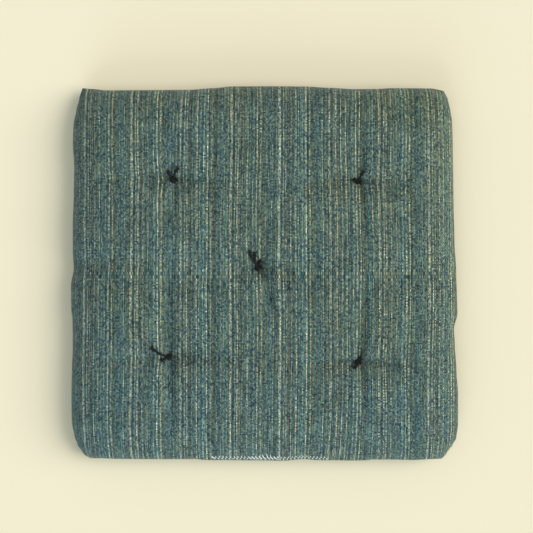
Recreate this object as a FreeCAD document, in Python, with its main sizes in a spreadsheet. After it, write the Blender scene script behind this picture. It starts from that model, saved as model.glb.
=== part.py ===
import FreeCAD, Part
import math
import os

import Sketcher

# Square floor cushion: one folded length of cloth, filled with cotton sheets and tufted with five ties.
# Millimetres. The origin is the middle of the footprint on the floor. +X is to the right across the stripes,
# +Y runs to the folded far edge, -Y to the near edge where the turning gap is closed by hand, and +Z is up.

DRIVING = [
    ("cushion_width", 450.0),       # overall, across the stripes
    ("cushion_length", 434.0),      # overall, along the stripes
    ("cushion_height", 56.0),       # from the floor to the crown
    ("seam_height", 16.0),          # height of the seam and of the widest outline
    ("cloth_thick", 0.9),
    ("corner_radius", 15.0),        # plan radius of a corner at the seam
    ("upper_roll", 90.0),           # how far the upper face rolls in before it is level
    ("lower_roll", 17.0),           # how far the underside rolls in before it is level
    ("seam_gap", 0.6),              # between the two cloth edges of a seam
    ("seam_allowance", 10.0),       # cloth turned in behind a seam
    ("fold_margin", 34.0),          # length at each far corner where the cloth is folded, not sewn
    ("batting_gap", 0.3),           # between the cloth and the batting, and between sheets
    ("corner_pad_radius", 46.0),
    ("dimple_mouth", 24.0),         # radius where a tie draws the upper face down
    ("dimple_floor", 5.0),
    ("dimple_bottom", 38.0),        # height of the cloth under a knot
    ("under_mouth", 16.0),
    ("under_depth", 8.0),
    ("thread_radius", 0.8),         # one strand of a tie
    ("strand_offset", 1.6),         # from a tie's middle to each strand
    ("tie_hole", 2.7),
    ("batting_hole", 3.3),
    ("knot_radius", 3.1),
    ("knot_gap", 0.05),             # between a knot and the cloth under it
    ("tail_radius", 1.3),
    ("seam_thread_radius", 0.22),
    ("seam_thread_inset", 1.4),     # from the outline to the seam thread
    ("closing_start", -61.0),       # along the near edge, where the hand-sewn closing begins and ends
    ("closing_end", 76.0),
    ("closing_depth", 0.64),        # how far the closing stitches sink into the edge
    ("closing_band", 5.4),          # height of that band
    ("stitch_pitch", 4.2),
    ("stitch_radius", 0.3),
    ("stitch_slant", 28.0),         # degrees from upright
    ("overrun", 5.0),               # how far a cutting shape runs past what it cuts
]

# Name, place on the cushion, then the plan direction in degrees and the length of each of its two tails.
TIES = [
    ("tie_far_left", -103.5, 107.0, ((72.0, 14.0), (128.0, 10.0))),
    ("tie_far_right", 107.5, 105.0, ((64.0, 13.0), (150.0, 8.0))),
    ("tie_centre", -7.5, 7.5, ((116.0, 20.0), (66.0, 11.0))),
    ("tie_near_left", -109.5, -94.5, ((149.0, 20.0), (196.0, 10.0))),
    ("tie_near_right", 107.0, -100.5, ((128.0, 9.0), (226.0, 10.0))),
]
TAIL_RISE = 38.0            # degrees above level
CORNER_OPENING = 0.25       # how much a corner's radius grows with the roll, as a share of it

# Batting sheets from the floor up, as shares of the filling's height; the seam lies between two of them.
SHEETS = ["batting_bottom_sheet", "batting_lower_sheet", "batting_middle_sheet",
          "batting_upper_sheet", "batting_crown_sheet"]
CORNERS = [("far_left", -1, 1), ("far_right", 1, 1), ("near_left", -1, -1), ("near_right", 1, -1)]

# Sections of the stuffed shape from the floor up: share of the lower or upper height, share of that roll.
LOWER_SECTIONS = [(1.0, 1.0), (0.72, 0.36)]
UPPER_SECTIONS = [(0.0, 0.0), (0.36, 0.045), (0.66, 0.20), (0.87, 0.52), (1.0, 1.0)]

doc = FreeCAD.newDocument("floor_cushion")
sheet = doc.addObject("Spreadsheet::Sheet", "sizes")
for row, (alias, value) in enumerate(DRIVING, start=1):
    sheet.set(f"A{row}", alias)
    sheet.set(f"B{row}", str(value))
    sheet.setAlias(f"B{row}", alias)
doc.recompute()
size = dict(DRIVING)
parts = []


def plane(body, role):
    """The origin plane or axis of a body, by its role."""
    return [f for f in body.Origin.OriginFeatures if f.Role == role][0]


def bind(thing, expressions):
    for name, expression in expressions.items():
        thing.setExpression(name, expression)
    return thing


def keep(thing, label):
    """Marks a document object as a sub-part, under the label that names its file."""
    thing.Label = label
    parts.append(thing)
    return thing


def section(body, name, height, half_x, half_y, radius):
    """A rounded rectangle on a level plane of the body, with its sizes given as expressions."""
    sketch = body.newObject("Sketcher::SketchObject", name)
    sketch.AttachmentSupport = [(plane(body, "XY_Plane"), "")]
    sketch.MapMode = "FlatFace"
    sketch.setExpression("AttachmentOffset.Base.z", height)
    v = FreeCAD.Vector
    x, y, r = 200.0, 190.0, 12.0
    ends = [((-x + r, -y), (x - r, -y)), ((x, -y + r), (x, y - r)),
            ((x - r, y), (-x + r, y)), ((-x, y - r), (-x, -y + r))]
    centres = [(x - r, -y + r, 270), (x - r, y - r, 0), (-x + r, y - r, 90), (-x + r, -y + r, 180)]
    for (ax, ay), (bx, by) in ends:
        sketch.addGeometry(Part.LineSegment(v(ax, ay, 0), v(bx, by, 0)), False)
    for cx, cy, start in centres:
        circle = Part.Circle(v(cx, cy, 0), v(0, 0, 1), r)
        turn = math.radians(start)
        sketch.addGeometry(Part.ArcOfCircle(circle, turn, turn + math.pi / 2), False)
    for i in range(4):
        sketch.addConstraint(Sketcher.Constraint("Tangent", i, 2, 4 + i, 1))
        sketch.addConstraint(Sketcher.Constraint("Tangent", 4 + i, 2, (i + 1) % 4, 1))
    sketch.addConstraint(Sketcher.Constraint("Horizontal", 0))
    sketch.addConstraint(Sketcher.Constraint("Vertical", 1))
    sketch.addConstraint(Sketcher.Constraint("Horizontal", 2))
    sketch.addConstraint(Sketcher.Constraint("Vertical", 3))
    for i in range(1, 4):
        sketch.addConstraint(Sketcher.Constraint("Equal", 4, 4 + i))
    sketch.addConstraint(Sketcher.Constraint("Symmetric", 0, 1, 2, 1, -1, 1))
    reach_x = sketch.addConstraint(Sketcher.Constraint("DistanceX", -1, 1, 1, 1, x))
    reach_y = sketch.addConstraint(Sketcher.Constraint("DistanceY", -1, 1, 2, 1, y))
    round_it = sketch.addConstraint(Sketcher.Constraint("Radius", 4, r))
    sketch.setExpression(f"Constraints[{reach_x}]", half_x)
    sketch.setExpression(f"Constraints[{reach_y}]", half_y)
    sketch.setExpression(f"Constraints[{round_it}]", radius)
    return sketch


def form(name, inset):
    """The stuffed shape, smaller all round by an inset expression, before the ties draw it in."""
    body = doc.addObject("PartDesign::Body", name)
    levels = []
    for rise, run in LOWER_SECTIONS:
        levels.append((f"sizes.seam_height - (sizes.seam_height - {inset}) * {rise}",
                       f"sizes.lower_roll * {run}"))
    for rise, run in UPPER_SECTIONS:
        levels.append((f"sizes.seam_height + (sizes.cushion_height - sizes.seam_height - {inset}) * {rise}",
                       f"sizes.upper_roll * {run}"))
    sketches = []
    for i, (height, roll) in enumerate(levels):
        sketches.append(section(
            body, f"{name}_section_{i}", height,
            f"sizes.cushion_width / 2 - {inset} - {roll}",
            f"sizes.cushion_length / 2 - {inset} - {roll}",
            f"sizes.corner_radius - {inset} + {roll} * {CORNER_OPENING}",
        ))
    doc.recompute()
    loft = body.newObject("PartDesign::AdditiveLoft", f"{name}_loft")
    loft.Profile = sketches[0]
    loft.Sections = sketches[1:]
    loft.Ruled = True
    return body


def dimples(name, inset):
    """The hollows that the ties draw in the two faces of the cushion, larger by an inset expression."""
    cones = []
    for tie, x, y, _ in TIES:
        upper = doc.addObject("Part::Cone", f"{name}_{tie}_above")
        lower = doc.addObject("Part::Cone", f"{name}_{tie}_below")
        for cone in (upper, lower):
            cone.Placement.Base = FreeCAD.Vector(x, y, 0)
        bind(upper, {
            "Placement.Base.z": f"sizes.dimple_bottom - {inset}",
            "Radius1": f"sizes.dimple_floor + 0.5 * {inset}",
            "Radius2": f"sizes.dimple_mouth + 0.5 * {inset}",
            "Height": "sizes.cushion_height + sizes.overrun - sizes.dimple_bottom",
        })
        bind(lower, {
            "Placement.Base.z": "-sizes.overrun",
            "Radius1": f"sizes.under_mouth + 0.5 * {inset}",
            "Radius2": f"sizes.dimple_floor + 0.5 * {inset}",
            "Height": f"sizes.overrun + sizes.under_depth + {inset}",
        })
        cones += [upper, lower]
    return fused(name, cones)


def box(name, x, y, z, length, width, height):
    made = doc.addObject("Part::Box", name)
    bind(made, {"Length": length, "Width": width, "Height": height, "Placement.Base.x": x,
                "Placement.Base.y": y, "Placement.Base.z": z})
    return made


def centred_plate(name, z, height, margin):
    """A level plate over the whole cushion, inset from its outline by a margin expression."""
    return box(name, f"-sizes.cushion_width / 2 + {margin}", f"-sizes.cushion_length / 2 + {margin}", z,
               f"sizes.cushion_width - 2 * ({margin})", f"sizes.cushion_length - 2 * ({margin})", height)


def boolean(kind, name, base, tool):
    made = doc.addObject(f"Part::{kind}", name)
    made.Base, made.Tool = base, tool
    return made


def fused(name, shapes):
    made = doc.addObject("Part::MultiFuse", name)
    made.Shapes = shapes
    return made


def tie_cores(name, radius):
    """Upright cylinders on every tie, to cut the way of its thread."""
    cores = []
    for tie, x, y, _ in TIES:
        core = doc.addObject("Part::Cylinder", f"{name}_{tie}")
        core.Placement.Base = FreeCAD.Vector(x, y, 0)
        bind(core, {"Radius": radius, "Height": "sizes.cushion_height + 2 * sizes.overrun",
                    "Placement.Base.z": "-sizes.overrun"})
        cores.append(core)
    return fused(name, cores)


def allowance_band(name, gap):
    """The space of the turned-in seam allowances: a level band in the three sewn sides, grown by a gap."""
    half = f"(sizes.seam_gap / 2 + sizes.cloth_thick + {gap})"
    whole = centred_plate(f"{name}_plate", f"sizes.seam_height - {half}", f"2 * {half}", "-sizes.overrun")
    inside = centred_plate(f"{name}_inside", "0", "sizes.cushion_height",
                           f"sizes.cloth_thick + sizes.seam_allowance + {gap}")
    band = boolean("Cut", f"{name}_ring", whole, inside)
    sewn = box(f"{name}_sides", "-sizes.cushion_width", "-sizes.cushion_length", "0",
               "2 * sizes.cushion_width", f"1.5 * sizes.cushion_length - sizes.fold_margin + {gap}",
               "sizes.cushion_height")
    return boolean("Common", name, band, sewn)


def make_cover():
    """One length of cloth folded at the far edge, its seam allowances turned in at the three sewn sides."""
    outer = boolean("Cut", "outer_shape", form("outer_form", "0"), dimples("outer_dimples", "0"))
    room = boolean("Cut", "cavity_shape", form("cavity_form", "sizes.cloth_thick"),
                   dimples("cavity_dimples", "sizes.cloth_thick"))
    cavity = boolean("Cut", "cavity", room, allowance_band("allowance", "0"))
    slit = box("seam_slit", "-sizes.cushion_width", "-sizes.cushion_length",
               "sizes.seam_height - sizes.seam_gap / 2", "2 * sizes.cushion_width",
               "1.5 * sizes.cushion_length - sizes.fold_margin", "sizes.seam_gap")
    recess = box("closing_recess", "sizes.closing_start - 2", "-sizes.cushion_length / 2 - sizes.overrun",
                 "sizes.seam_height - sizes.closing_band / 2", "sizes.closing_end - sizes.closing_start + 4",
                 "sizes.overrun + sizes.closing_depth", "sizes.closing_band")
    shell = boolean("Cut", "shell", outer, cavity)
    cuts = fused("cloth_cuts", [slit, recess, tie_cores("tie_holes", "sizes.tie_hole")])
    return keep(boolean("Cut", "cover", shell, cuts), "cover_cloth")


def make_batting():
    """Five cotton sheets stacked in the cloth, and a small wad in each corner beside the middle sheet."""
    inset = "(sizes.cloth_thick + sizes.batting_gap)"
    stuffed = boolean("Cut", "stuffed_shape", form("filling_form", inset), dimples("filling_dimples", inset))
    cuts = fused("batting_cuts", [allowance_band("allowance_room", "sizes.batting_gap"),
                                  tie_cores("batting_holes", "sizes.batting_hole")])
    filling = boolean("Cut", "filling", stuffed, cuts)
    pads, pad_rooms = [], []
    for corner, side_x, side_y in CORNERS:
        for made, name, gap in ((pads, "pad", "0"), (pad_rooms, "pad_room", "sizes.batting_gap")):
            wad = doc.addObject("Part::Cylinder", f"{name}_{corner}")
            bind(wad, {"Radius": f"sizes.corner_pad_radius + {gap}", "Height": "sizes.cushion_height",
                       "Placement.Base.x": f"{side_x} * (sizes.cushion_width / 2 - 4)",
                       "Placement.Base.y": f"{side_y} * (sizes.cushion_length / 2 - 4)"})
            made.append(wad)
    above = "(sizes.cushion_height - sizes.seam_height)"
    levels = ["0", "0.5 * sizes.seam_height", "sizes.seam_height", f"sizes.seam_height + 0.32 * {above}",
              f"sizes.seam_height + 0.64 * {above}", "sizes.cushion_height"]
    for i, label in enumerate(SHEETS):
        layer = centred_plate(f"{label}_layer", f"{levels[i]} + sizes.batting_gap / 2",
                              f"{levels[i + 1]} - ({levels[i]}) - sizes.batting_gap", "-sizes.overrun")
        cut = boolean("Common", f"{label}_cut", filling, layer)
        if label != "batting_middle_sheet":
            keep(cut, label)
            continue
        keep(boolean("Cut", f"{label}_trimmed", cut, fused("pad_rooms", pad_rooms)), label)
        for (corner, _, _), pad in zip(CORNERS, pads):
            keep(boolean("Common", f"pad_cut_{corner}", cut, pad), f"batting_corner_{corner}")


def make_tie(label, x, y, tails):
    """A doubled thread through the cushion: a bar under the cloth, two strands, a knot and two cut tails."""
    strands = []
    for side in (-1, 1):
        strand = doc.addObject("Part::Cylinder", f"{label}_strand_{side + 1}")
        bind(strand, {"Radius": "sizes.thread_radius",
                      "Height": "sizes.dimple_bottom - sizes.under_depth + 4 * sizes.thread_radius",
                      "Placement.Base.x": f"{x} + {side} * sizes.strand_offset",
                      "Placement.Base.y": f"{y}",
                      "Placement.Base.z": "sizes.under_depth - 1.4 * sizes.thread_radius"})
        strands.append(strand)
    loop = doc.addObject("Part::Cylinder", f"{label}_loop")
    loop.Placement = FreeCAD.Placement(FreeCAD.Vector(), FreeCAD.Rotation(FreeCAD.Vector(0, 1, 0), 90))
    bind(loop, {"Radius": "1.25 * sizes.thread_radius",
                "Height": "2 * (sizes.strand_offset + 1.5 * sizes.thread_radius)",
                "Placement.Base.x": f"{x} - sizes.strand_offset - 1.5 * sizes.thread_radius",
                "Placement.Base.y": f"{y}",
                "Placement.Base.z": "sizes.under_depth - 1.4 * sizes.thread_radius"})
    knot = doc.addObject("Part::Sphere", f"{label}_knot")
    knot.Placement = FreeCAD.Placement(FreeCAD.Vector(), FreeCAD.Rotation(FreeCAD.Vector(0, 0, 1), -45))
    bind(knot, {"Radius": "sizes.knot_radius", "Placement.Base.x": f"{x}", "Placement.Base.y": f"{y}",
                "Placement.Base.z": "sizes.dimple_bottom + sizes.knot_radius + sizes.knot_gap"})
    pieces = strands + [loop, knot]
    for n, (heading, length) in enumerate(tails):
        aim = FreeCAD.Rotation(FreeCAD.Vector(0, 0, 1), heading).multiply(
            FreeCAD.Rotation(FreeCAD.Vector(0, 1, 0), 90.0 - TAIL_RISE))
        tail = doc.addObject("Part::Cylinder", f"{label}_tail_{n}")
        tail.Placement = FreeCAD.Placement(FreeCAD.Vector(x, y, 0), aim)
        bind(tail, {"Radius": "sizes.tail_radius", "Height": f"{length}",
                    "Placement.Base.z": "sizes.dimple_bottom + 1.2 * sizes.knot_radius"})
        pieces.append(tail)
    return keep(fused(label, pieces), label)


def make_side_seam(label, side):
    """The thread of a side seam, from the near corner to the folded corner, between the two cloths."""
    thread = doc.addObject("Part::Cylinder", label)
    thread.Placement = FreeCAD.Placement(FreeCAD.Vector(), FreeCAD.Rotation(FreeCAD.Vector(1, 0, 0), -90))
    sewn = "sizes.cushion_length - sizes.corner_radius - sizes.fold_margin"
    bind(thread, {"Radius": "sizes.seam_thread_radius", "Height": f"{sewn} - 2 * sizes.seam_gap",
                  "Placement.Base.x": f"{side} * (sizes.cushion_width / 2 - sizes.seam_thread_inset)",
                  "Placement.Base.y": "-sizes.cushion_length / 2 + sizes.corner_radius + sizes.seam_gap",
                  "Placement.Base.z": "sizes.seam_height"})
    return keep(thread, label)


def make_near_seam(label, side):
    """The thread of the near seam on one side of the closing, carried round the corner to the side seam."""
    stop = "sizes.closing_end + sizes.seam_gap" if side > 0 else "-sizes.closing_start + sizes.seam_gap"
    straight = doc.addObject("Part::Cylinder", f"{label}_straight")
    straight.Placement = FreeCAD.Placement(
        FreeCAD.Vector(), FreeCAD.Rotation(FreeCAD.Vector(0, 1, 0), 90.0 * side))
    bind(straight, {"Radius": "sizes.seam_thread_radius",
                    "Height": f"sizes.cushion_width / 2 - sizes.corner_radius - ({stop})",
                    "Placement.Base.x": f"{side} * ({stop})",
                    "Placement.Base.y": "-sizes.cushion_length / 2 + sizes.seam_thread_inset",
                    "Placement.Base.z": "sizes.seam_height"})
    bend = doc.addObject("Part::Torus", f"{label}_bend")
    bend.Angle3 = 90
    start = -90 if side > 0 else 180
    bend.Placement = FreeCAD.Placement(
        FreeCAD.Vector(), FreeCAD.Rotation(FreeCAD.Vector(0, 0, 1), start))
    bind(bend, {"Radius1": "sizes.corner_radius - sizes.seam_thread_inset",
                "Radius2": "sizes.seam_thread_radius",
                "Placement.Base.x": f"{side} * (sizes.cushion_width / 2 - sizes.corner_radius)",
                "Placement.Base.y": "-sizes.cushion_length / 2 + sizes.corner_radius",
                "Placement.Base.z": "sizes.seam_height"})
    return keep(fused(label, [straight, bend]), label)


def make_closing_stitches():
    """The hand-sewn overcast stitches that close the turning gap, as one group of slanted bars."""
    count = int((size["closing_end"] - size["closing_start"]) / size["stitch_pitch"])
    bars = []
    for i in range(count):
        bar = doc.addObject("Part::Cylinder", f"closing_stitch_{i}")
        lean = FreeCAD.Rotation(FreeCAD.Vector(0, 1, 0), -size["stitch_slant"])
        bar.Placement = FreeCAD.Placement(FreeCAD.Vector(), lean)
        half = "(sizes.closing_band / 2 - 2 * sizes.stitch_radius)"
        bind(bar, {"Radius": "sizes.stitch_radius",
                   "Height": f"2 * {half} / cos(sizes.stitch_slant * 1deg)",
                   "Placement.Base.x": f"sizes.closing_start + {i + 0.5} * sizes.stitch_pitch"
                                       f" + {half} * tan(sizes.stitch_slant * 1deg)",
                   "Placement.Base.y": "-sizes.cushion_length / 2 + sizes.closing_depth / 2",
                   "Placement.Base.z": f"sizes.seam_height - {half}"})
        bars.append(bar)
    group = doc.addObject("Part::Compound", "closing_stitches")
    group.Links = bars
    return keep(group, "closing_stitches")


make_cover()
make_batting()
for tie_name, tie_x, tie_y, tie_tails in TIES:
    make_tie(tie_name, tie_x, tie_y, tie_tails)
make_side_seam("side_seam_left", -1)
make_side_seam("side_seam_right", 1)
make_near_seam("near_seam_left", -1)
make_near_seam("near_seam_right", 1)
make_closing_stitches()
doc.recompute()

for thing in doc.Objects:
    wrong = [s for s in thing.State if s in ("Invalid", "Error")]
    if wrong:
        raise SystemExit(f"{thing.Name} ({thing.TypeId}) is {wrong}")
for thing in parts:
    shape = thing.Shape
    if shape.isNull() or not shape.isValid() or not shape.Solids:
        raise SystemExit(f"{thing.Label} has no valid solid")
    box_of = shape.optimalBoundingBox()
    print(f"{thing.Label:28s} solids {len(shape.Solids):3d}  volume {shape.Volume:12.1f} mm3  "
          f"x {box_of.XMin:8.2f} {box_of.XMax:8.2f}  y {box_of.YMin:8.2f} {box_of.YMax:8.2f}  "
          f"z {box_of.ZMin:6.2f} {box_of.ZMax:6.2f}")

os.makedirs("parts", exist_ok=True)
for thing in parts:
    thing.Shape.exportStep(f"parts/{thing.Label}.step")
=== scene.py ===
import math
import random

import bmesh
import bpy
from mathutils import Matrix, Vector, noise
from mathutils.bvhtree import BVHTree


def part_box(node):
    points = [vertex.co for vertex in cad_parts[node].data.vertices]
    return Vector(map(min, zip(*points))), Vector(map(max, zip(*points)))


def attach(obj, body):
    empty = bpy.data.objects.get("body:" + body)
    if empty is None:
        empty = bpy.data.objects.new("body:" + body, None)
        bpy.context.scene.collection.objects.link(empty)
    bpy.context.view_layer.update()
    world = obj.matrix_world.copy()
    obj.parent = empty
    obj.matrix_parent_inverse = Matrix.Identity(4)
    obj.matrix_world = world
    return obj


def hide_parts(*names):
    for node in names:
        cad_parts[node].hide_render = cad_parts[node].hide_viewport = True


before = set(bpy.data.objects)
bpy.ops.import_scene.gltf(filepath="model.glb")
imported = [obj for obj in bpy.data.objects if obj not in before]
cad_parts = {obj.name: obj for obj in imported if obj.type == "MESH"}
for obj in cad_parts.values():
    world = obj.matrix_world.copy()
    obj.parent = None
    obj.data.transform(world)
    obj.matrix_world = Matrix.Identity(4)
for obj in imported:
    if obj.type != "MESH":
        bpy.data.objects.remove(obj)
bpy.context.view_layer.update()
mm = 0.001
print("frame loaded")

# A tufted floor cushion. +X runs across the stripes, +Y to the folded far edge, +Z up.
# Shape values below are in millimetres on the cushion's own axes, from its middle.

cushion = {
    "crownHeight": 55.4,       # of the level middle above the floor
    "squares": 150,            # of cloth mesh along each side of a panel
    "seamCrowding": 3.4,       # how much the mesh rows crowd up to a seam
    "plumpness": 1.05,         # 1 is a long even slope up from the edge, more is a fuller shoulder
    "edgeReach": 38,           # how far into the cloth an uneven edge is felt
    "grooveDepth": 1.9,        # of the sewn seam
    "lumpHeight": 2.2,         # unevenness of the batting
    "grainStray": 3.0,         # how far the stripes wander sideways
}

# How far each edge stands in from the full outline, from low to high along the edge.
edgeInsets = {
    "left": [(-217, 22), (-209, 13), (-200, 7.5), (-188, 3.6), (-172, 1.2), (-140, 1), (-112, 1.6),
             (-86, 2.6), (-56, 2.4), (-40, 0.8), (-14, 0.4), (6, 3.8), (24, 2.6), (56, 2.6), (90, 3.8),
             (126, 4.2), (150, 2.6), (172, 3.2), (190, 6), (204, 9), (217, 12.5)],
    "right": [(-217, 19), (-208, 12.5), (-200, 6.5), (-190, 1.6), (-176, 0.3), (-140, 0.5), (-112, 2.4),
              (-84, 4.2), (-64, 5.4), (-46, 1.2), (-34, 1.6), (0, 2.6), (40, 4.8), (90, 6), (150, 6.8),
              (178, 7.2), (192, 8.8), (204, 11), (217, 16)],
    "near": [(-225, 2), (-190, 1.8), (-86, 1.6), (-62, 0.8), (0, 0.4), (20, 0), (46, 1.9), (64, 0.6),
             (110, 0.2), (143, 1.2), (180, 0.4), (225, 1)],
    "far": [(-225, 1.6), (-206, 3.2), (-188, 4.9), (-140, 4.7), (-88, 4.4), (-60, 2.5), (-36, 0.4), (10, 0.2),
            (46, 0.5), (76, 2), (104, 3.6), (130, 3.4), (150, 2.4), (200, 2.6), (225, 5)],
}

# Hollows drawn in the upper face: from, to, depth, and half width of the soft valley round its crease.
hollows = {
    "far left tie, leftwards": ((-103, 107), (-208, 110), 19.5, 16),
    "far left tie, rightwards": ((-103, 107), (-42, 103), 18.8, 16),
    "far left tie, up": ((-103, 107), (-100, 172), 8.5, 11),
    "far left tie, down": ((-102, 107), (-104, 50), 15.6, 11),
    "far right tie, leftwards": ((107, 105), (24, 106), 18, 16),
    "far right tie, rightwards": ((107, 105), (168, 104), 15, 16),
    "far right tie, up": ((107, 105), (109, 176), 14.2, 11),
    "far right tie, down": ((108, 105), (112, 36), 13.2, 11),
    "centre tie, leftwards": ((-8, 4), (-100, -2), 18.8, 16),
    "centre tie, rightwards": ((-8, 3), (76, 0), 21, 16),
    "centre tie, up": ((-7, 8), (2, 66), 13.8, 11),
    "centre tie, down": ((-5, 6), (10, -60), 16.2, 11),
    "near left tie, leftwards": ((-110, -95), (-190, -98), 15, 16),
    "near left tie, rightwards": ((-110, -95), (-36, -95), 21, 16),
    "near left tie, up": ((-107, -94), (-108, 16), 18.8, 11),
    "near left tie, down": ((-107, -96), (-106, -200), 15.6, 11),
    "near right tie, leftwards": ((107, -101), (36, -104), 21, 16),
    "near right tie, rightwards": ((107, -101), (176, -102), 18, 16),
    "near right tie, up": ((109, -99), (112, -6), 16.6, 11),
    "near right tie, down": ((109, -102), (114, -176), 12.9, 11),
    "right edge": ((216, 1), (118, 3), 16.5, 16),
    "left edge": ((-218, 10), (-130, 10), 13.5, 16),
    "near middle": ((2, -208), (-2, -120), 9.4, 12),
    "slant by the near right tie": ((84, -128), (34, -172), 5.8, 10),
}

creases = {
    "soft": 0.45,              # share of a hollow that is its wide valley; the rest is the crease itself
    "narrow": 0.36,            # half width of the crease, as a share of the valley's
    "widening": (0.8, 0.7),    # of the valley at the tie, and what it gains on the way out
}

gathers = {
    "spacing": 6.5,
    "reach": 11,               # how far they run in from a seam
    "start": 3,                # how far in they begin
    "sewn": 1.3,               # height where the edge is sewn
    "folded": 0.5,
}

ties = {
    "names": ["tie_centre", "tie_far_left", "tie_far_right", "tie_near_left", "tie_near_right"],
    "clothHeight": 33.5,        # of the cloth under a knot
    "undersideDepth": 8,
    "flat": 2.4,               # radius of cloth held level by the knot
    "steep": (0.72, 8),        # share and reach of the hollow close to the tie
    "gentle": (0.28, 26),
    "pinch": 1.6,              # how far the cloth is drawn sideways to the tie
}

closing = {
    "stitches": 32,
    "lift": 11.0,              # how far the closed edge rolls up over the side
    "liftFrom": -74,
    "liftTo": 128,
    "slitFrom": 79,            # dark gap where the machine seam begins
    "slitTo": 111,
    "slitDepth": 3.2,
    "above": 4.0,              # of a whip stitch's upper end above the seam
    "below": 4.6,
    "lean": 2.1,               # how far each end of a whip stitch is off to its side
    "proud": 0.55,             # how far it stands off the cloth
    "ply": 0.46,               # radius of one of its two plies
    "twist": 0.36,             # distance of a ply from the thread's middle
}


def alongEdge(points, place):
    if place <= points[0][0]:
        return points[0][1]
    for (a, low), (b, high) in zip(points, points[1:]):
        if place <= b:
            share = (place - a) / (b - a)
            return low + (high - low) * share * share * (3 - 2 * share)
    return points[-1][1]


def ramp(low, high, value):
    share = min(1.0, max(0.0, (value - low) / (high - low)))
    return share * share * (3 - 2 * share)


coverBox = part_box("cover_cloth")
halfWidth = (coverBox[1].x - coverBox[0].x) / 2 / mm
halfLength = (coverBox[1].y - coverBox[0].y) / 2 / mm
seamHeight = (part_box("side_seam_left")[0].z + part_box("side_seam_left")[1].z) / 2 / mm

# The edge's section is a curve of even length: it starts upright at the seam and levels out inwards.
startSlope = 0.9
startAngle = math.asin(math.sqrt(startSlope / 2))
fullTurn = 2 * startAngle + math.sin(2 * startAngle)
upperRise = cushion["crownHeight"] - seamHeight
upperRoll = upperRise / fullTurn
underRoll = seamHeight / fullTurn
panelHalfWidth = halfWidth + startSlope * upperRoll
panelHalfLength = halfLength + startSlope * upperRoll


def edgeSection(arc):
    roll = upperRoll if arc >= 0 else underRoll
    length = abs(arc)
    left = startSlope * math.exp(-length / roll)
    angle = math.asin(math.sqrt(left / 2))
    run = length - startSlope * roll * (1 - math.exp(-length / roll))
    rise = roll * (fullTurn - 2 * angle - math.sin(2 * angle))
    return run, rise if arc >= 0 else -rise


def tiePlace(name):
    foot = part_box(name)[0].z + 0.5 * mm
    low = [v.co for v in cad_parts[name].data.vertices if v.co.z < foot]
    return sum((v.x for v in low)) / len(low) / mm, sum((v.y for v in low)) / len(low) / mm


tiePlaces = {name: tiePlace(name) for name in ties["names"]}
print("ties at", {name: (round(x, 1), round(y, 1)) for name, (x, y) in tiePlaces.items()})


def closingLift(x):
    return closing["lift"] * ramp(closing["liftFrom"] - 14, closing["liftFrom"] + 14, x) * (
        1 - ramp(closing["liftTo"] - 30, closing["liftTo"] + 10, x))


def crowded(arc):
    return max(0.0, arc - cushion["seamCrowding"] * (1 - math.exp(-arc / 5)))   # mesh rows crowd up to a seam


def stuffedPoint(a, b, upper):
    # a and b are the place on a cloth panel, from -1 to 1; the answer is where it lies on the full pad
    arcX = crowded(panelHalfWidth * (1 - abs(a)))
    arcY = crowded(panelHalfLength * (1 - abs(b)))
    signX, signY = math.copysign(1, a), math.copysign(1, b)
    lift = closingLift(a * halfWidth) * math.exp(-arcY / 24) if signY < 0 else 0.0
    runX, riseX = edgeSection(arcX if upper else -arcX)
    runY, riseY = edgeSection(lift + arcY if upper else lift - arcY)
    fullRise = upperRise if upper else -seamHeight
    fullX, fullY = riseX / fullRise, riseY / fullRise
    meet = fullX + fullY - fullX * fullY
    full = fullX * fullY / meet if abs(meet) > 1e-6 else 0.0
    if upper and full > 0:
        full = 1 - (1 - full) ** cushion["plumpness"]
    z = seamHeight + fullRise * full
    straightX, straightY = (1 - min(1, fullY)) ** 2, (1 - fullX) ** 2
    x = signX * (halfWidth - runX) * (1 - straightX) + a * halfWidth * straightX
    y = signY * (halfLength - runY) * (1 - straightY) + b * halfLength * straightY
    return x, y, z, arcX, arcY


def unevenEdges(x, y):
    reach = cushion["edgeReach"]
    left = alongEdge(edgeInsets["left"], y) * math.exp(-max(0, halfWidth + x) / reach)
    right = alongEdge(edgeInsets["right"], y) * math.exp(-max(0, halfWidth - x) / reach)
    near = alongEdge(edgeInsets["near"], x) * math.exp(-max(0, halfLength + y) / reach)
    far = alongEdge(edgeInsets["far"], x) * math.exp(-max(0, halfLength - y) / reach)
    return x + left - right, y + near - far


def seamGroove(x, y, a, b, arcX, arcY):
    # the sewn sides are drawn in along the seam; the far side is only folded
    depth = cushion["grooveDepth"]
    near = depth
    if b < 0:
        near += (closing["slitDepth"] - depth) * ramp(closing["slitFrom"] - 5, closing["slitFrom"], x) * (
            1 - ramp(closing["slitTo"], closing["slitTo"] + 8, x))
        y += near * math.exp(-(arcY / 2.2) ** 2)
    x -= math.copysign(depth, a) * math.exp(-(arcX / 2.2) ** 2)
    return x, y


def hollowDepth(x, y):
    crowd = 0.0
    for (ax, ay), (bx, by), deep, soft in hollows.values():
        lineX, lineY = bx - ax, by - ay
        length = math.hypot(lineX, lineY)
        along = ((x - ax) * lineX + (y - ay) * lineY) / length
        across = abs((x - ax) * lineY - (y - ay) * lineX) / length
        if across > 5 * soft or along < -soft or along > length + soft:
            continue
        fade = ramp(-soft, 6, along) * (1 - along / (length + soft))
        wide = soft * (creases["widening"][0] + creases["widening"][1] * along / length)
        sharp = math.exp(-across / (creases["narrow"] * soft))
        valley = deep * fade * (creases["soft"] * math.exp(-across / wide) + (1 - creases["soft"]) * sharp)
        crowd += valley ** 4                              # where hollows meet, the deepest wins
    return crowd ** 0.25


def tieDepth(distance):
    past = max(0.0, distance - ties["flat"])
    return sum(share * math.exp(-past / reach) for share, reach in (ties["steep"], ties["gentle"]))


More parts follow.
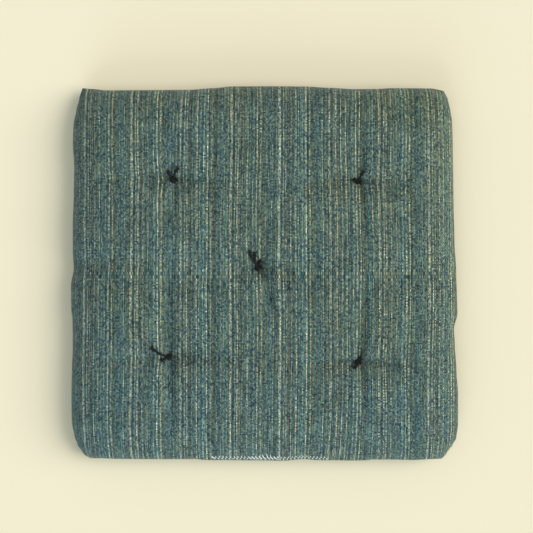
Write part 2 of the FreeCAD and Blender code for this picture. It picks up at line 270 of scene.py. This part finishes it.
levelAtTies = {}
for name, (tieX, tieY) in tiePlaces.items():
    level = stuffedPoint(tieX / panelHalfWidth, tieY / panelHalfLength, True)[2]
    levelAtTies[name] = level - hollowDepth(tieX, tieY)


def drawnInByTies(x, y, z, upper):
    if upper:
        z -= hollowDepth(x, y) * min(1.0, max(0.0, (z - seamHeight) / upperRise))
    else:
        z = max(0.0, z)
    for name, (tieX, tieY) in tiePlaces.items():
        awayX, awayY = x - tieX, y - tieY
        distance = math.hypot(awayX, awayY)
        if distance > 130:
            continue
        share = tieDepth(distance)
        pull = ties["pinch"] * distance / 8 * math.exp(1 - distance / 8) / max(distance, 1e-6)
        x, y = x - awayX * pull, y - awayY * pull
        if upper:
            z -= (levelAtTies[name] - ties["clothHeight"]) * share
        else:
            z += ties["undersideDepth"] * math.exp(-max(0.0, distance - ties["flat"]) / 6)
    return x, y, z


def lumps(x, y, z):
    rise = noise.noise(Vector((x / 62, y / 58, 4.1))) + 0.5 * noise.noise(Vector((x / 27, y / 31, 9.7)))
    return z + cushion["lumpHeight"] * rise * min(1.0, max(0.0, (z - seamHeight) / upperRise))


def puckers(x, y, z, arcX, arcY, b):
    # small gathers that run in from the seams
    reach, start = gathers["reach"], gathers["start"]
    side = noise.noise(Vector((y / gathers["spacing"], 2.0, 0)))
    end = noise.noise(Vector((x / gathers["spacing"], 7.0, 0)))
    side *= math.exp(-arcX / reach) * (1 - math.exp(-arcX / start))
    end *= math.exp(-arcY / reach) * (1 - math.exp(-arcY / start))
    return z + gathers["sewn"] * side + gathers["sewn" if b < 0 else "folded"] * end


def arcAt(run):
    # how much cloth lies between a seam and a spot this far in from it
    arc = run + startSlope * upperRoll * (1 - math.exp(-run / upperRoll))
    for _ in range(4):
        left = startSlope * math.exp(-arc / upperRoll)
        arc += (run - arc + startSlope * upperRoll - left * upperRoll) / (1 - left)
    return arc


def offGrain(a, b, upper):
    # where a spot on a panel falls in the woven cloth, which the stuffing pulls a little askew
    x, y = stuffedPoint(a, b, upper)[:2]
    evenX, evenY = unevenEdges(x, y)
    straight = math.copysign(panelHalfWidth - arcAt(max(0.0, halfWidth - abs(x))), a)
    waves = Vector((x / 80, y / 150, 3.3))
    u = straight + evenX - x + cushion["grainStray"] * noise.noise(waves)
    v = b * panelHalfLength + evenY - y
    if not upper:
        v = 2 * panelHalfLength - v        # the stripes carry on round the folded edge
    return u * mm, v * mm


def clothPlace(a, b, upper):
    x, y, z, arcX, arcY = stuffedPoint(a, b, upper)
    x, y = seamGroove(x, y, a, b, arcX, arcY)
    x, y = unevenEdges(x, y)
    z = lumps(x, y, z)
    z = puckers(x, y, z, arcX, arcY, b)
    return Vector(drawnInByTies(x, y, z, upper)) * mm


def makePanel(bm, uvLayer, upper, squares):
    made = bmesh.ops.create_grid(bm, x_segments=squares, y_segments=squares, size=1)
    verts = made["verts"]
    faces = list({face for vert in verts for face in vert.link_faces})
    for vert in verts:
        spot = offGrain(vert.co.x, vert.co.y, upper)
        for loop in vert.link_loops:
            loop[uvLayer].uv = spot
    for face in faces:
        face.smooth = True
    for vert in verts:
        vert.co = clothPlace(vert.co.x, vert.co.y, upper)
    if not upper:
        bmesh.ops.reverse_faces(bm, faces=faces)


def stuffedForm(squares):
    bm = bmesh.new()
    uvLayer = bm.loops.layers.uv.new("cloth")
    makePanel(bm, uvLayer, True, squares)
    makePanel(bm, uvLayer, False, squares)
    edgeVerts = [vert for vert in bm.verts if vert.is_boundary]
    bmesh.ops.remove_doubles(bm, verts=edgeVerts, dist=0.05 * mm)
    return bm


def newPiece(name, bm, slot, *nodes):
    mesh = bpy.data.meshes.new(name)
    bm.to_mesh(mesh)
    bm.free()
    piece = bpy.data.objects.new(name, mesh)
    bpy.context.scene.collection.objects.link(piece)
    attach(piece, "root")
    if nodes:
        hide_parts(*nodes)
    return piece


cover = newPiece("stripedCover", stuffedForm(cushion["squares"]), "striped_cloth", "cover_cloth")
finer = cover.modifiers.new("finer", "SUBSURF")
finer.levels = finer.render_levels = 1
print("cover made")

batting = {
    "squares": 80,
    "underCloth": 4.2,         # mm between the cloth and the batting
    "sheets": ["bottom", "lower", "middle", "upper", "crown"],
    "sideGap": 1.5,            # times that gap, at the sides
    "tieGap": (3, 18),         # how many times more of it near a tie, and the reach of that
    "seamEase": 4,             # mm above and below the seam where the gap is still opening
    "cornerCut": 52,           # mm from a corner to where its wad takes over from the middle sheet
}


def battingForm():
    bm = stuffedForm(batting["squares"])
    gap = batting["underCloth"] * mm
    seam = seamHeight * mm
    more, reach = batting["tieGap"]
    for vert in bm.verts:
        nearest = min(math.hypot(vert.co.x / mm - x, vert.co.y / mm - y) for x, y in tiePlaces.values())
        opened = min(1.0, abs(vert.co.z - seam) / (batting["seamEase"] * mm))
        drop = opened * gap * (1 + more * math.exp(-(nearest / reach) ** 2))
        vert.co.z += drop if vert.co.z < seam else -drop
        vert.co.x *= 1 - batting["sideGap"] * gap / (halfWidth * mm)
        vert.co.y *= 1 - batting["sideGap"] * gap / (halfLength * mm)
    return bm


def cutAway(bm, place, outwards):
    # takes off what lies beyond a plane and fills the cut, where the rim of the cut is whole
    geometry = bm.verts[:] + bm.edges[:] + bm.faces[:]
    cut = bmesh.ops.bisect_plane(bm, geom=geometry, dist=1e-7, plane_co=place, plane_no=outwards,
                                 clear_outer=True)
    edges = [item for item in cut["geom_cut"] if isinstance(item, bmesh.types.BMEdge)]
    bmesh.ops.triangle_fill(bm, use_beauty=True, edges=edges, normal=outwards)
    bmesh.ops.recalc_face_normals(bm, faces=bm.faces)


def makeBatting():
    pieces = []
    corners = {"near_left": (-1, -1), "near_right": (1, -1), "far_left": (-1, 1), "far_right": (1, 1)}
    for sheet in batting["sheets"]:
        node = "batting_" + sheet + "_sheet"
        low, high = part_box(node)
        bm = battingForm()
        if sheet != "bottom":
            cutAway(bm, (0, 0, low.z), (0, 0, -1))
        if sheet != "crown":
            cutAway(bm, (0, 0, high.z), (0, 0, 1))
        if sheet == "middle":
            for sideX, sideY in corners.values():
                place = (sideX * (halfWidth - batting["cornerCut"]) * mm, sideY * halfLength * mm, 0)
                cutAway(bm, place, (sideX, sideY, 0))
        pieces.append(newPiece("battingSheet" + sheet.capitalize(), bm, "cotton_batting", node))
    for corner, (sideX, sideY) in corners.items():
        node = "batting_corner_" + corner
        low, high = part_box(node)
        bm = battingForm()
        cutAway(bm, (0, 0, low.z), (0, 0, -1))
        cutAway(bm, (0, 0, high.z), (0, 0, 1))
        place = (sideX * (halfWidth - batting["cornerCut"] + 0.5) * mm, sideY * halfLength * mm, 0)
        cutAway(bm, place, (-sideX, -sideY, 0))
        name = "battingCorner" + "".join(word.capitalize() for word in corner.split("_"))
        pieces.append(newPiece(name, bm, "cotton_batting", node))
    return pieces


battingPieces = makeBatting()
print("batting cut", [len(piece.data.polygons) for piece in battingPieces])


clothTree = BVHTree.FromObject(cover, bpy.context.evaluated_depsgraph_get())


def clothTop(x, y):
    hit = clothTree.ray_cast(Vector((x, y, 200)) * mm, Vector((0, 0, -1)))[0]
    return hit.z / mm


def clothUnder(x, y):
    hit = clothTree.ray_cast(Vector((x, y, -50)) * mm, Vector((0, 0, 1)))[0]
    return hit.z / mm


def clothFront(x, z):
    hit = clothTree.ray_cast(Vector((x, -300, z)) * mm, Vector((0, 1, 0)))[0]
    return hit.y / mm


def threadCurve(name, strands, smooth=True, resolution=2):
    # each strand is its points and its radius, in millimetres
    curve = bpy.data.curves.new(name, "CURVE")
    curve.dimensions = "3D"
    curve.resolution_u = 3 if smooth else 1
    curve.bevel_depth = mm if strands[0][1] else 0
    curve.bevel_resolution = resolution
    curve.use_fill_caps = True
    for points, radius in strands:
        spline = curve.splines.new("NURBS" if smooth else "POLY")
        spline.points.add(len(points) - 1)
        for knot, point in zip(spline.points, points):
            knot.co = (*(Vector(point) * mm), 1)
            knot.radius = radius
        if smooth:
            spline.order_u = 3
            spline.use_endpoint_u = True
    return curve


def curveMesh(curve):
    holder = bpy.data.objects.new(curve.name, curve)
    mesh = bpy.data.meshes.new_from_object(holder)
    bpy.data.objects.remove(holder)
    bpy.data.curves.remove(curve)
    return mesh


def smoothPath(points):
    mesh = curveMesh(threadCurve("path", [(points, 0)]))
    path = [vert.co / mm for vert in mesh.vertices]
    bpy.data.meshes.remove(mesh)
    return path


def threadPiece(name, strands, slot, node, smooth=True, resolution=2):
    mesh = curveMesh(threadCurve(name, strands, smooth, resolution))
    bm = bmesh.new()
    bm.from_mesh(mesh)
    bpy.data.meshes.remove(mesh)
    bmesh.ops.remove_doubles(bm, verts=bm.verts, dist=1e-6)
    bmesh.ops.recalc_face_normals(bm, faces=bm.faces)
    for face in bm.faces:
        face.smooth = True
    return newPiece(name, bm, slot, node)


def spun(path, plies, offset, pitch, radius, fray=0.0, seed=0):
    # plies twisted round a path; fray spreads them towards its end
    chance = random.Random(seed)
    travelled, made = 0.0, [[] for _ in range(plies)]
    lean = [chance.uniform(-1, 1) for _ in range(plies * 2)]
    length = sum((q - p).length for p, q in zip(path, path[1:]))
    for i, point in enumerate(path):
        ahead = path[min(i + 1, len(path) - 1)] - path[max(i - 1, 0)]
        travelled += (point - path[i - 1]).length if i else 0
        side = ahead.cross(Vector((0, 0, 1)))
        side = side.normalized() if side.length > 1e-4 else Vector((1, 0, 0))
        up = side.cross(ahead).normalized()
        spread = fray * max(0.0, travelled / length - 0.35) ** 1.5
        for ply in range(plies):
            turn = 2 * math.pi * (travelled / pitch + ply / plies)
            wide = offset * (1 + spread)
            place = point + side * (wide * math.cos(turn)) + up * (wide * math.sin(turn))
            made[ply].append(place + side * lean[ply] * spread + up * abs(lean[-1 - ply]) * spread * 0.6)
    return [(points, radius) for points in made]


knots = {
    "ply": 0.74,               # radius of one ply
    "size": 3.9,              # half width of the knot
    "sit": 2.3,                # of the knot's middle above the cloth
    # ends of each tie's tails, from its knot: across, along, and how far it stands off the cloth
    "tie_far_left": [(-6.4, 9.0, 1.2), (6.2, 12.6, 1.8)],
    "tie_far_right": [(5.4, 10.6, 1.6), (-5.6, 3.2, 0.9)],
    "tie_centre": [(-9.0, 18.6, 1.5), (-3.0, 16.6, 2.4), (3.6, 7.4, 0.8)],
    "tie_near_left": [(-18.6, 11.8, 1.6), (-8.2, -3.6, 0.8)],
    "tie_near_right": [(-5.4, -6.6, 1.0), (2.2, 5.6, 1.0)],
    "wisps": {"tie_far_left": (0.4, 19.0, 0.4), "tie_near_right": (0.8, 20.0, 0.4),
              "tie_centre": (5.0, -16.0, 0.3)},
    "wispRadius": 0.16,
    "apart": 1.6,              # from a tie's middle to each of its two strands
}


def laidTail(x, y, end, sit, lift=1.0):
    # a tail leaves its knot level and then lies on the slope of the hollow
    reachX, reachY, clear = end
    points = []
    for i in range(7):
        share = i / 6
        bend = math.sin(math.pi * share) * 0.09
        px = x + reachX * share - reachY * bend
        py = y + reachY * share + reachX * bend
        rest = clothTop(px, py) + 0.7 + clear * share
        points.append(Vector((px, py, max(rest, sit * (1 - share) + rest * share) if i else sit)))
    return smoothPath(points)


def knotLoop(x, y, z, turn):
    # the thread goes three times round itself
    size, path = knots["size"], []
    for i in range(26):
        t = 2 * math.pi * i / 25
        px = (math.sin(t) + 2 * math.sin(2 * t)) / 3
        py = (math.cos(t) - 2 * math.cos(2 * t)) / 3
        path.append(Vector((x + size * (px * math.cos(turn) - 0.8 * py * math.sin(turn)),
                            y + size * (px * math.sin(turn) + 0.8 * py * math.cos(turn)),
                            z - 0.55 * size * math.sin(3 * t))))
    return path


def makeTie(name, seed):
    x, y = tiePlaces[name]
    top, under = clothTop(x, y), clothUnder(x, y)
    sit = top + knots["sit"]
    ply = knots["ply"]
    apart = knots["apart"]
    strands = []
    for side in (-1, 1):
        through = [Vector((x + side * apart, y, top - 1.5)), Vector((x + side * apart, y, (top + under) / 2)),
                   Vector((x + side * apart, y, under + 1.5))]
        strands += spun(through, 2, ply * 0.95, 4, ply)
        rise = [Vector((x + side * apart, y, top - 1.5)), Vector((x + side * apart, y, top + 0.6)),
                Vector((x + side * 0.9, y, sit)), Vector((x - side * 0.6, y + side * 0.5, sit + 0.8))]
        strands += spun(smoothPath(rise), 2, ply * 0.95, 4, ply)
    bar = [Vector((x - apart, y, under + 1.5)), Vector((x - apart, y, under - 0.7)),
           Vector((x, y, under - 1.0)),
           Vector((x + apart, y, under - 0.7)), Vector((x + apart, y, under + 1.5))]
    strands += spun(smoothPath(bar), 2, ply * 0.9, 4, ply)
    ends = knots[name]
    turn = math.atan2(ends[0][1], ends[0][0])
    strands += spun(knotLoop(x, y, sit, turn), 2, ply * 0.95, 3.2, ply)
    strands += spun(knotLoop(x + 0.3, y + 0.2, sit + 0.7, turn + 1.2), 2, ply * 0.8, 3.2, ply * 0.9)
    for i, end in enumerate(ends):
        tail = laidTail(x, y, end, sit)
        strands += spun(tail, 4, ply * 1.05, 5.5, ply * 0.92, fray=2.4, seed=seed * 10 + i)
    if name in knots["wisps"]:
        strands.append((laidTail(x, y, knots["wisps"][name], sit), knots["wispRadius"]))
    piece = "tie" + "".join(word.capitalize() for word in name.split("_")[1:])
    return threadPiece(piece, strands, "tie_thread", name)


tiePieces = [makeTie(name, i + 1) for i, name in enumerate(ties["names"])]
print("ties knotted", sum(len(piece.data.polygons) for piece in tiePieces))


def makeClosingStitches():
    # whip stitches lean over the closed edge from left above to right below
    low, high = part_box("closing_stitches")
    first, last = low.x / mm + 2, high.x / mm - 2
    strands = []
    chance = random.Random(4)
    for i in range(closing["stitches"]):
        x = first + (last - first) * i / (closing["stitches"] - 1) + chance.uniform(-0.35, 0.35)
        seamZ = stuffedPoint(x / halfWidth, -1, True)[2]
        points = []
        for j in range(7):
            share = j / 6
            z = seamZ + closing["above"] - (closing["above"] + closing["below"]) * share
            proud = -0.9 if j in (0, 6) else closing["proud"]      # its ends go down into the cloth
            across = x + closing["lean"] * (share - 0.5) * 2
            points.append(Vector((across, clothFront(across, z) - proud, z)))
        strands += spun(smoothPath(points), 2, closing["twist"], 3, closing["ply"])
    return threadPiece("closingStitches", strands, "closing_thread", "closing_stitches", resolution=1)


machineSeam = {
    "halfStitch": 1.4,         # along the seam
    "rise": 0.55,              # above and below the groove
    "proud": 0.15,
    "radius": 0.24,
}


def makeSeamThread(name, node):
    # machine stitches lie in the groove of a sewn side, one thread crossing it to and fro
    low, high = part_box(node)
    alongSide = high.y - low.y > high.x - low.x
    place, end = (low.y / mm, high.y / mm) if alongSide else (low.x / mm, high.x / mm)
    points, proud = [], machineSeam["proud"]
    while place < end:
        rise = machineSeam["rise"] if len(points) % 2 else -machineSeam["rise"]
        if alongSide:
            side = math.copysign(1, low.x)
            points.append(clothPlace(side, place / halfLength, True) / mm + Vector((side * proud, 0, rise)))
        else:
            points.append(clothPlace(place / halfWidth, -1, True) / mm + Vector((0, -proud, rise)))
        place += machineSeam["halfStitch"]
    strands = [(points, machineSeam["radius"])]
    return threadPiece(name, strands, "seam_thread", node, smooth=False, resolution=0)


closingPiece = makeClosingStitches()
seamPieces = [
    makeSeamThread("sideSeamLeft", "side_seam_left"),
    makeSeamThread("sideSeamRight", "side_seam_right"),
    makeSeamThread("nearSeamLeft", "near_seam_left"),
    makeSeamThread("nearSeamRight", "near_seam_right"),
]
print("edges sewn")


weaving = {
    "repeat": 56.5,            # mm of warp order
    "firstCream": 17.9,        # mm from the middle to a strong cream end
    "endPitch": 1.4125,        # mm between warp ends
    "pickPitch": 1.6,          # mm between weft picks
    "wander": 0.5,             # mm that yarns stray from straight
    "thinness": 0.64,          # 1 hides an end wholly where the weft crosses it, less lets it show
}

yarns = {
    "cream": (0.44, 0.425, 0.31),
    "straw": (0.335, 0.33, 0.235),
    "ash": (0.25, 0.275, 0.215),
    "fog": (0.158, 0.198, 0.160),
    "sea": (0.098, 0.150, 0.130),
    "lagoon": (0.082, 0.158, 0.160),
    "slate": (0.068, 0.108, 0.103),
    "moss": (0.120, 0.138, 0.094),
    "rust": (0.165, 0.140, 0.100),
    "weft": (0.052, 0.098, 0.102),
}

# One repeat of the warp, by yarn and number of ends.
warpOrder = [
    ("cream", 1), ("slate", 2), ("ash", 1), ("sea", 1), ("straw", 1), ("sea", 1), ("rust", 1), ("slate", 1),
    ("ash", 1), ("sea", 2), ("fog", 1), ("straw", 1), ("slate", 1), ("fog", 1), ("lagoon", 2), ("ash", 1),
    ("sea", 2), ("cream", 1), ("slate", 1), ("sea", 1), ("straw", 1), ("moss", 2), ("sea", 2), ("rust", 1),
    ("lagoon", 2), ("fog", 1), ("slate", 1), ("ash", 1), ("sea", 2), ("fog", 1), ("slate", 1), ("straw", 1),
]

# Dyes that a single crossing may take, darkest first.
dyes = [(0.13, 0.22, 0.34), (0.33, 0.58, 0.85), (0.72, 0.95, 0.91), (1.00, 0.97, 0.82), (1.26, 1.31, 1.23),
        (1.75, 1.78, 1.60)]


def newMaterial(name, roughness):
    made = bpy.data.materials.new(name)
    made.use_nodes = True
    tree = made.node_tree
    shader = tree.nodes["Principled BSDF"]
    shader.inputs["Roughness"].default_value = roughness
    shader.inputs["Specular IOR Level"].default_value = 0.25
    return made, tree, shader


def addNode(tree, kind, **settings):
    node = tree.nodes.new(kind)
    for name, value in settings.items():
        setattr(node, name, value)
    return node


def feed(tree, socket, value):
    if isinstance(value, bpy.types.NodeSocket):
        tree.links.new(value, socket)
    else:
        socket.default_value = value


def reckon(tree, operation, first, second=0.0, third=0.0):
    node = addNode(tree, "ShaderNodeMath", operation=operation)
    for socket, value in zip(node.inputs, (first, second, third)):
        feed(tree, socket, value)
    return node.outputs[0]


def blendColours(tree, share, first, second, how="MIX"):
    node = addNode(tree, "ShaderNodeMix", data_type="RGBA", blend_type=how)
    feed(tree, node.inputs[0], share)
    feed(tree, node.inputs[6], first)
    feed(tree, node.inputs[7], second)
    return node.outputs[2]


def stretched(tree, vector, scale):
    node = addNode(tree, "ShaderNodeVectorMath", operation="MULTIPLY")
    feed(tree, node.inputs[0], vector)
    node.inputs[1].default_value = scale
    return node.outputs[0]


def dyeRamp(tree, share):
    node = addNode(tree, "ShaderNodeValToRGB")
    ends = node.color_ramp.elements
    for i, dye in enumerate(dyes):
        stop = ends[i] if i < 2 else ends.new(i / (len(dyes) - 1))
        stop.position = i / (len(dyes) - 1)
        stop.color = (*dye, 1)
    feed(tree, node.inputs[0], share)
    return node.outputs[0]


def makeWeaveGroup():
    group = bpy.data.node_groups.new("plainWeave", "ShaderNodeTree")
    for name, kind in (("Cloth Place", "NodeSocketVector"), ("End Pitch", "NodeSocketFloat"),
                       ("Pick Pitch", "NodeSocketFloat"), ("Wander", "NodeSocketFloat")):
        group.interface.new_socket(name=name, in_out="INPUT", socket_type=kind)
    outlets = ("Across", "Warp On Top", "Height", "End Tone", "Pick Tone", "Crossing Dye")
    for name in outlets:
        group.interface.new_socket(name=name, in_out="OUTPUT", socket_type="NodeSocketFloat")
    enter, leave = addNode(group, "NodeGroupInput"), addNode(group, "NodeGroupOutput")
    apart = addNode(group, "ShaderNodeSeparateXYZ")
    feed(group, apart.inputs[0], enter.outputs["Cloth Place"])
    drift = addNode(group, "ShaderNodeTexNoise", noise_dimensions="2D")
    feed(group, drift.inputs["Vector"], enter.outputs["Cloth Place"])
    drift.inputs["Scale"].default_value = 38
    drift.inputs["Detail"].default_value = 2
    evenDrift = reckon(group, "SUBTRACT", drift.outputs[0], 0.5)
    shift = reckon(group, "MULTIPLY", evenDrift, enter.outputs["Wander"])
    across = reckon(group, "ADD", apart.outputs[0], shift)
    ends = reckon(group, "DIVIDE", across, enter.outputs["End Pitch"])
    along = reckon(group, "ADD", apart.outputs[1], shift)
    picks = reckon(group, "DIVIDE", along, enter.outputs["Pick Pitch"])
    endNumber, pickNumber = reckon(group, "FLOOR", ends), reckon(group, "FLOOR", picks)
    acrossEnd = reckon(group, "SUBTRACT", reckon(group, "FRACT", ends), 0.5)
    acrossPick = reckon(group, "SUBTRACT", reckon(group, "FRACT", picks), 0.5)
    odd = reckon(group, "FLOORED_MODULO", reckon(group, "ADD", endNumber, pickNumber), 2.0)
    onTop = reckon(group, "LESS_THAN", odd, 0.5)
    warpRound = reckon(group, "COSINE", reckon(group, "MULTIPLY", acrossEnd, 2.9))
    warpLong = reckon(group, "COSINE", reckon(group, "MULTIPLY", acrossPick, 2.4))
    weftRound = reckon(group, "COSINE", reckon(group, "MULTIPLY", acrossPick, 2.9))
    weftLong = reckon(group, "COSINE", reckon(group, "MULTIPLY", acrossEnd, 2.4))
    warpHeight = reckon(group, "MULTIPLY", warpRound, warpLong)
    weftHeight = reckon(group, "MULTIPLY", weftRound, weftLong)
    height = addNode(group, "ShaderNodeMix", data_type="FLOAT")
    feed(group, height.inputs[0], onTop)
    feed(group, height.inputs[2], weftHeight)
    feed(group, height.inputs[3], warpHeight)
    tones = []
    for first, second in ((endNumber, 0.0), (pickNumber, 71.0), (endNumber, pickNumber)):
        cell = addNode(group, "ShaderNodeCombineXYZ")
        feed(group, cell.inputs[0], first)
        feed(group, cell.inputs[1], second)
        speck = addNode(group, "ShaderNodeTexWhiteNoise", noise_dimensions="2D")
        feed(group, speck.inputs["Vector"], cell.outputs[0])
        tones.append(speck.outputs["Value"])
    for name, value in zip(outlets, (across, onTop, height.outputs[0], *tones)):
        feed(group, leave.inputs[name], value)
    return group


weaveGroup = makeWeaveGroup()


def tintPatchesAndPaintedLight(tree, place):
    # random warm and cool tint patches, plus painted light: warmer towards the far right corner, where the
    # warm window light falls, and cooler towards the near left, where the cool light falls
    patches = addNode(tree, "ShaderNodeTexNoise", noise_dimensions="2D")
    feed(tree, patches.inputs["Vector"], place)
    patches.inputs["Scale"].default_value = 9
    # painted light: the tint grows warmer towards the far right corner and cooler towards the near left
    slant = addNode(tree, "ShaderNodeVectorMath", operation="DOT_PRODUCT")
    feed(tree, slant.inputs[0], place)
    slant.inputs[1].default_value = (0.9, 0.7, 0)
    share = addNode(tree, "ShaderNodeClamp")
    feed(tree, share.inputs[0], reckon(tree, "ADD", patches.outputs[0], slant.outputs["Value"]))
    return blendColours(tree, share.outputs[0], (0.90, 0.99, 1.13, 1), (1.09, 1.01, 0.87, 1))


def makeStripedCloth():
    made, tree, shader = newMaterial("stripedCotton", 0.82)
    place = addNode(tree, "ShaderNodeUVMap", uv_map="cloth").outputs[0]
    weave = addNode(tree, "ShaderNodeGroup", node_tree=weaveGroup)
    feed(tree, weave.inputs["Cloth Place"], place)
    weave.inputs["End Pitch"].default_value = weaving["endPitch"] * mm
    weave.inputs["Pick Pitch"].default_value = weaving["pickPitch"] * mm
    weave.inputs["Wander"].default_value = weaving["wander"] * mm
    inOrder = reckon(tree, "FRACT", reckon(tree, "DIVIDE", reckon(
        tree, "SUBTRACT", weave.outputs["Across"], (weaving["firstCream"] - weaving["endPitch"] / 2) * mm),
        weaving["repeat"] * mm))
    order = addNode(tree, "ShaderNodeValToRGB")
    order.color_ramp.interpolation = "CONSTANT"
    total = sum(count for _, count in warpOrder)
    done = 0
    for i, (yarn, count) in enumerate(warpOrder):
        if i < 2:
            stop = order.color_ramp.elements[i]
            stop.position = done / total
        else:
            stop = order.color_ramp.elements.new(done / total)
        stop.color = (*yarns[yarn], 1)
        done += count
    feed(tree, order.inputs[0], inOrder)

    fading = addNode(tree, "ShaderNodeTexNoise", noise_dimensions="2D")
    feed(tree, fading.inputs["Vector"], stretched(tree, place, (900, 26, 1)))
    fading.inputs["Scale"].default_value = 1
    fading.inputs["Detail"].default_value = 1
    faded = reckon(tree, "MULTIPLY_ADD", fading.outputs[0], 2.2, -0.1)
    endTone = reckon(tree, "MULTIPLY_ADD", weave.outputs["End Tone"], 0.6, 0.7)
    endTone = reckon(tree, "MULTIPLY", endTone, faded)
    warp = blendColours(tree, 1.0, order.outputs[0], endTone, "MULTIPLY")
    pickTone = reckon(tree, "MULTIPLY_ADD", weave.outputs["Pick Tone"], 0.6, 0.7)
    weft = blendColours(tree, 1.0, (*yarns["weft"], 1), pickTone, "MULTIPLY")
    thinness = weaving["thinness"]
    showing = reckon(tree, "MULTIPLY_ADD", weave.outputs["Warp On Top"], thinness, 1 - thinness)
    cloth = blendColours(tree, showing, weft, warp)
    cloth = blendColours(tree, 1.0, cloth, dyeRamp(tree, weave.outputs["Crossing Dye"]), "MULTIPLY")
    # random tint patches with painted warm and cool light laid over them
    cloth = blendColours(tree, 1.0, cloth, tintPatchesAndPaintedLight(tree, place), "MULTIPLY")
    # painted shade: the colour is darkened where the weave sits low, in the gaps between yarns
    paintedGapShade = reckon(tree, "MULTIPLY_ADD", weave.outputs["Height"], 0.7, 0.55)
    cloth = blendColours(tree, 1.0, cloth, paintedGapShade, "MULTIPLY")
    feed(tree, shader.inputs["Base Color"], cloth)
    bump = addNode(tree, "ShaderNodeBump")
    bump.inputs["Strength"].default_value = 0.4
    bump.inputs["Distance"].default_value = 0.3 * mm
    feed(tree, bump.inputs["Height"], weave.outputs["Height"])
    feed(tree, shader.inputs["Normal"], bump.outputs[0])
    shader.inputs["Sheen Weight"].default_value = 0.12
    shader.inputs["Sheen Roughness"].default_value = 0.5
    return made


def makeFibreGroup():
    group = bpy.data.node_groups.new("fibres", "ShaderNodeTree")
    for name, kind in (("Place", "NodeSocketVector"), ("Fineness", "NodeSocketFloat")):
        group.interface.new_socket(name=name, in_out="INPUT", socket_type=kind)
    group.interface.new_socket(name="Fluff", in_out="OUTPUT", socket_type="NodeSocketFloat")
    enter, leave = addNode(group, "NodeGroupInput"), addNode(group, "NodeGroupOutput")
    strands = addNode(group, "ShaderNodeTexNoise")
    strands.inputs["Detail"].default_value = 5
    strands.inputs["Roughness"].default_value = 0.62
    feed(group, strands.inputs["Vector"], enter.outputs["Place"])
    feed(group, strands.inputs["Scale"], enter.outputs["Fineness"])
    feed(group, leave.inputs["Fluff"], strands.outputs[0])
    return group


fibreGroup = makeFibreGroup()


def makeFibrous(name, dark, light, fineness, relief, roughness, sheen):
    # thread and batting differ in how fine their fibres are and how far they stand up
    made, tree, shader = newMaterial(name, roughness)
    fibres = addNode(tree, "ShaderNodeGroup", node_tree=fibreGroup)
    feed(tree, fibres.inputs["Place"], addNode(tree, "ShaderNodeTexCoord").outputs["Object"])
    fibres.inputs["Fineness"].default_value = fineness
    colour = blendColours(tree, fibres.outputs[0], (*dark, 1), (*light, 1))
    feed(tree, shader.inputs["Base Color"], colour)
    bump = addNode(tree, "ShaderNodeBump")
    bump.inputs["Strength"].default_value = 0.7
    bump.inputs["Distance"].default_value = relief * mm
    feed(tree, bump.inputs["Height"], fibres.outputs[0])
    feed(tree, shader.inputs["Normal"], bump.outputs[0])
    shader.inputs["Sheen Weight"].default_value = sheen
    return made


cover.data.materials.append(makeStripedCloth())
tieThread = makeFibrous("tieThread", (0.003, 0.004, 0.006), (0.014, 0.017, 0.022), 1400, 0.2, 0.7, 0.05)
closingThread = makeFibrous("closingThread", (0.60, 0.67, 0.70), (0.88, 0.92, 0.93), 1400, 0.2, 0.7, 0.2)
seamThread = makeFibrous("seamThread", (0.03, 0.06, 0.065), (0.07, 0.12, 0.12), 1400, 0.2, 0.7, 0.1)
cotton = makeFibrous("cottonBatting", (0.62, 0.58, 0.48), (0.86, 0.84, 0.77), 160, 1.5, 0.95, 0.4)
for pieces, material in ((tiePieces, tieThread), ([closingPiece], closingThread), (seamPieces, seamThread),
                         (battingPieces, cotton)):
    for piece in pieces:
        piece.data.materials.append(material)
print("materials made")


room = {
    "floorSize": 8.0,
    "floorColour": (0.885, 0.825, 0.635),
    "keyFrom": (1.0, 0.10, 0.80),      # direction the window light comes from
    "keySpread": 48,                   # degrees
    "keyStrength": 2.35,
    "keyColour": (1.0, 0.965, 0.90),
    "fillFrom": (-0.25, -1.0, 0.36),
    "fillSpread": 40,
    "fillStrength": 1.35,
    "fillColour": (0.66, 0.88, 1.0),
    "ambient": (0.455, 0.455, 0.44),
}


def makeFloor():
    mesh = bpy.data.meshes.new("floor")
    bm = bmesh.new()
    bmesh.ops.create_grid(bm, x_segments=2, y_segments=2, size=room["floorSize"] / 2)
    bm.to_mesh(mesh)
    bm.free()
    floor = bpy.data.objects.new("floor", mesh)
    bpy.context.scene.collection.objects.link(floor)
    made, tree, shader = newMaterial("paleFloor", 0.9)
    shader.inputs["Base Color"].default_value = (*room["floorColour"], 1)
    mesh.materials.append(made)


def addLight(name, comesFrom, spread, strength, colour):
    lamp = bpy.data.lights.new(name, "SUN")
    lamp.angle = math.radians(spread)
    lamp.energy = strength
    lamp.color = colour
    holder = bpy.data.objects.new(name, lamp)
    bpy.context.scene.collection.objects.link(holder)
    holder.location = Vector(comesFrom)
    holder.rotation_euler = Vector(comesFrom).to_track_quat("Z", "Y").to_euler()


def makeCamera():
    lens = bpy.data.cameras.new("overhead")
    lens.sensor_width = 36
    lens.lens = 90
    camera = bpy.data.objects.new("overhead", lens)
    bpy.context.scene.collection.objects.link(camera)
    camera.location = (2.3 * mm, 8.1 * mm, 1.558)
    bpy.context.scene.camera = camera


makeFloor()
addLight("windowLight", room["keyFrom"], room["keySpread"], room["keyStrength"], room["keyColour"])
addLight("skyFill", room["fillFrom"], room["fillSpread"], room["fillStrength"], room["fillColour"])
world = bpy.data.worlds.new("room")
bpy.context.scene.world = world
world.use_nodes = True
world.node_tree.nodes["Background"].inputs[0].default_value = (*room["ambient"], 1)
bpy.context.scene.view_settings.view_transform = "Standard"
makeCamera()
